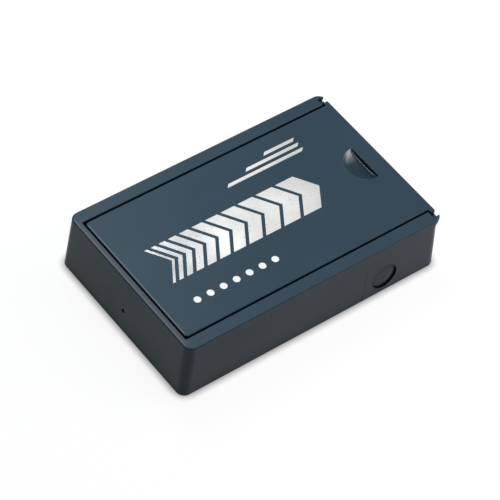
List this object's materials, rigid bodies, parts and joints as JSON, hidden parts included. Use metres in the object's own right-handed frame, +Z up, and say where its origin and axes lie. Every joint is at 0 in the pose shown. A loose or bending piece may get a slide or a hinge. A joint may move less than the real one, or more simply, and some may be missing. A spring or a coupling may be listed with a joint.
{
  "type": "magnetic key holder box",
  "caption": "Shallow plastic key box with a lid that slides out along undercut rails, a thumb scoop in the lid and magnets set into the underside.",
  "frame": {"origin": "on the resting face, under the middle of the box", "axes": "+X along the box towards the open end, where the lid slides out; +Y across the box; +Z up, from the magnetic face to the lid"},
  "size_m": [0.1018, 0.0642, 0.022],
  "materials": {
    "tray_plastic": "satin moulded",
    "lid_plastic": "satin moulded",
    "ferrite": "ground, matt",
    "plate_steel": "zinc plated",
    "adhesive": "cured",
    "silver_foil": "hot-stamped foil print on the lid",
    "white_ink": "printed ink on the lid"
  },
  "bodies": {
    "box": {"box_body": "tray_plastic", "closed_end_magnet": "ferrite", "closed_end_back_plate": "plate_steel", "closed_end_adhesive": "adhesive", "open_end_magnet": "ferrite", "open_end_back_plate": "plate_steel", "open_end_adhesive": "adhesive"},
    "lid": {"sliding_lid": "lid_plastic"}
  },
  "joints": [
    {"name": "lid_slide", "type": "slide", "parent": "box", "child": "lid", "axis": [1, 0, 0], "range_m": [0, 0.09]}
  ]
}
